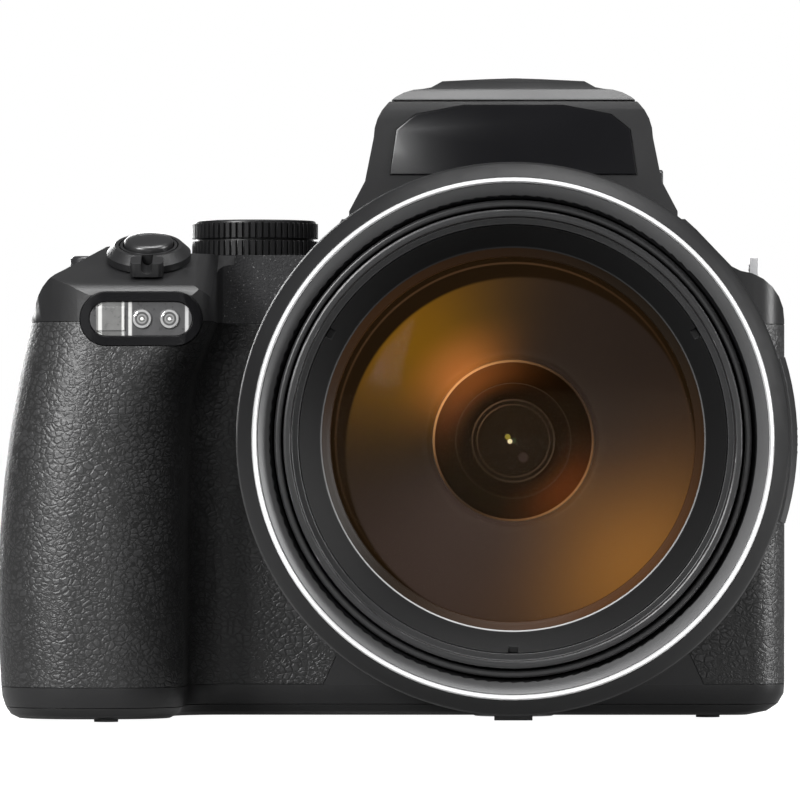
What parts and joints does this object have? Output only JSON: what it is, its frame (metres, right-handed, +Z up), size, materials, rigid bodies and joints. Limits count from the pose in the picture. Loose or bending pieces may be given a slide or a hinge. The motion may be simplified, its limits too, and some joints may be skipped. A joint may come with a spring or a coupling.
{
  "type": "bridge camera",
  "caption": "Bridge camera with a telescoping zoom lens, deep grip, viewfinder hump with a pop-up flash, hinged monitor and working dials, doors and buttons.",
  "frame": {"origin": "mouth of the tripod socket, on the lens axis seen from above", "axes": "+Z up, lens faces -Y, grip towards -X"},
  "size_m": [0.1451, 0.1813, 0.1183],
  "materials": {
    "shell": "fine-grained moulded black plastic",
    "crinkle": "crinkle-finish dark grey top cover",
    "skin": "pebble-grained black rubber",
    "barrel": "satin black lens barrel",
    "dark_rubber": "plain black rubber",
    "trim": "white trim line",
    "gloss": "gloss black",
    "button": "satin grey-black buttons",
    "button_metal": "satin silver",
    "glass": "coated optical glass",
    "dark_glass": "dark display glass",
    "window": "dark red lamp window",
    "flash_clear": "clear ribbed flash window",
    "cell": "dark lens cell with a warm reflection",
    "steel": "bright steel",
    "board": "circuit board",
    "battery": "grey battery case"
  },
  "bodies": {
    "body": {"front_cover": "shell", "grip_skin": "skin", "side_skin": "skin", "rear_cover": "shell", "base_plate": "shell", "top_cover": "crinkle", "fixed_barrel": "barrel", "front_collar": "barrel", "trim_ring": "trim", "rear_cell": "barrel", "rear_lens": "glass", "image_sensor": "board", "main_board": "board", "zoom_motor": "steel", "battery": "battery", "card_socket": "steel", "hot_shoe": "steel", "nameplate": "gloss", "eyecup": "dark_rubber", "eyepiece_glass": "dark_glass", "evf_display": "dark_glass", "lamp_bezel": "gloss", "lamp_window": "window", "strap_eyelets": "steel", "tripod_bush": "steel"},
    "control_ring": {"control_ring": "dark_rubber"},
    "middle_barrel": {"middle_barrel": "barrel"},
    "front_barrel": {"front_barrel": "barrel", "plain_ring": "barrel", "front_element": "glass"},
    "variator": {"variator_cell": "cell", "variator_lens": "glass"},
    "flash": {"flash_head": "shell", "flash_window": "flash_clear"},
    "monitor": {"monitor_hinge": "shell", "monitor_frame": "shell", "monitor_glass": "dark_glass"},
    "shutter_button": {"shutter_button": "button_metal"},
    "zoom_lever": {"zoom_lever": "shell"},
    "power_button": {"power_button": "button"},
    "fn_button": {"fn_button": "button"},
    "mode_dial": {"mode_dial": "shell"},
    "command_dial": {"command_dial": "shell"},
    "flash_button": {"flash_button": "button"},
    "diopter_dial": {"diopter_dial": "shell"},
    "focus_selector": {"focus_selector": "shell"},
    "ae_button": {"ae_button": "button"},
    "movie_button": {"movie_button": "button"},
    "monitor_button": {"monitor_button": "button"},
    "playback_button": {"playback_button": "button"},
    "display_button": {"display_button": "button"},
    "multi_selector": {"multi_selector": "shell"},
    "ok_button": {"ok_button": "button"},
    "menu_button": {"menu_button": "button"},
    "delete_button": {"delete_button": "button"},
    "side_zoom_lever": {"side_zoom_lever": "shell"},
    "snap_back_button": {"snap_back_button": "button"},
    "battery_door": {"battery_door": "shell"},
    "battery_latch": {"battery_latch": "shell"},
    "connector_door": {"connector_door": "dark_rubber"}
  },
  "joints": [
    {"name": "zoom_extend", "type": "slide", "parent": "body", "child": "front_barrel", "axis": [0, -1, 0], "range_m": [0, 0.11]},
    {"name": "middle_extend", "type": "slide", "parent": "body", "child": "middle_barrel", "axis": [0, -1, 0], "range_m": [0, 0.055]},
    {"name": "variator_move", "type": "slide", "parent": "body", "child": "variator", "axis": [0, -1, 0], "range_m": [0, 0.0275]},
    {"name": "control_turn", "type": "hinge", "parent": "body", "child": "control_ring", "pos_m": [0, -0.095, 0.051], "axis": [0, -1, 0], "continuous": true},
    {"name": "shutter_press", "type": "slide", "parent": "body", "child": "shutter_button", "axis": [0, 0.3714, -0.9285], "range_m": [0, 0.0015], "stiffness_N_per_m": 900},
    {"name": "zoom_turn", "type": "hinge", "parent": "body", "child": "zoom_lever", "pos_m": [-0.0667, -0.031, 0.08418], "axis": [0, -0.3714, 0.9285], "range_deg": [-18, 18], "stiffness_Nm_per_rad": 0.05},
    {"name": "power_press", "type": "slide", "parent": "body", "child": "power_button", "axis": [0, 0, -1], "range_m": [0, 0.0007], "stiffness_N_per_m": 600},
    {"name": "fn_press", "type": "slide", "parent": "body", "child": "fn_button", "axis": [0, 0, -1], "range_m": [0, 0.0007], "stiffness_N_per_m": 600},
    {"name": "mode_turn", "type": "hinge", "parent": "body", "child": "mode_dial", "pos_m": [-0.0484, 0.005, 0.0889], "axis": [0, 0, 1], "continuous": true},
    {"name": "command_turn", "type": "hinge", "parent": "body", "child": "command_dial", "pos_m": [-0.071, 0.025, 0.081], "axis": [0, 0, 1], "continuous": true},
    {"name": "flash_raise", "type": "hinge", "parent": "body", "child": "flash", "pos_m": [0, 0.00323, 0.11553], "axis": [-1, 0, 0], "range_deg": [0, 60]},
    {"name": "flash_press", "type": "slide", "parent": "body", "child": "flash_button", "axis": [-1, 0, 0], "range_m": [0, 0.0007], "stiffness_N_per_m": 600},
    {"name": "diopter_turn", "type": "hinge", "parent": "body", "child": "diopter_dial", "pos_m": [0.018, 0.039, 0.098], "axis": [1, 0, 0], "range_deg": [-140, 140]},
    {"name": "monitor_open", "type": "hinge", "parent": "body", "child": "monitor", "pos_m": [0.045, 0.029, 0.0365], "axis": [0, 0, -1], "range_deg": [0, 180]},
    {"name": "focus_turn", "type": "hinge", "parent": "body", "child": "focus_selector", "pos_m": [-0.045, 0.033, 0.0786], "axis": [0, 1, 0], "range_deg": [0, 30]},
    {"name": "ae_press", "type": "slide", "parent": "body", "child": "ae_button", "axis": [0, -1, 0], "range_m": [0, 0.0007], "stiffness_N_per_m": 600},
    {"name": "movie_press", "type": "slide", "parent": "body", "child": "movie_button", "axis": [0, -1, 0], "range_m": [0, 0.0007], "stiffness_N_per_m": 600},
    {"name": "monitor_press", "type": "slide", "parent": "body", "child": "monitor_button", "axis": [0, -1, 0], "range_m": [0, 0.0007], "stiffness_N_per_m": 600},
    {"name": "playback_press", "type": "slide", "parent": "body", "child": "playback_button", "axis": [0, -1, 0], "range_m": [0, 0.0007], "stiffness_N_per_m": 600},
    {"name": "display_press", "type": "slide", "parent": "body", "child": "display_button", "axis": [0, -1, 0], "range_m": [0, 0.0007], "stiffness_N_per_m": 600},
    {"name": "selector_turn", "type": "hinge", "parent": "body", "child": "multi_selector", "pos_m": [-0.06, 0.033, 0.036], "axis": [0, 1, 0], "continuous": true},
    {"name": "ok_press", "type": "slide", "parent": "body", "child": "ok_button", "axis": [0, -1, 0], "range_m": [0, 0.0007], "stiffness_N_per_m": 600},
    {"name": "menu_press", "type": "slide", "parent": "body", "child": "menu_button", "axis": [0, -1, 0], "range_m": [0, 0.0007], "stiffness_N_per_m": 600},
    {"name": "delete_press", "type": "slide", "parent": "body", "child": "delete_button", "axis": [0, -1, 0], "range_m": [0, 0.0007], "stiffness_N_per_m": 600},
    {"name": "side_zoom", "type": "hinge", "parent": "body", "child": "side_zoom_lever", "pos_m": [0, -0.058, 0.051], "axis": [0, -1, 0], "range_deg": [-4, 4], "stiffness_Nm_per_rad": 4},
    {"name": "snap_back_press", "type": "slide", "parent": "body", "child": "snap_back_button", "axis": [-0.9744, 0, 0.225], "range_m": [0, 0.0007], "stiffness_N_per_m": 600},
    {"name": "battery_door_open", "type": "hinge", "parent": "body", "child": "battery_door", "pos_m": [-0.076, -0.004, 0.00135], "axis": [1, 0, 0], "range_deg": [0, 105]},
    {"name": "battery_latch_slide", "type": "slide", "parent": "battery_door", "child": "battery_latch", "axis": [0, 1, 0], "range_m": [0, 0.003]},
    {"name": "connector_door_open", "type": "hinge", "parent": "body", "child": "connector_door", "pos_m": [0.0492, -0.0051, 0.042], "axis": [0, 0, -1], "range_deg": [0, 110]}
  ],
  "couplings": [
    {"joint": "middle_extend", "follows": "zoom_extend", "ratio": 0.5},
    {"joint": "variator_move", "follows": "zoom_extend", "ratio": 0.25}
  ]
}
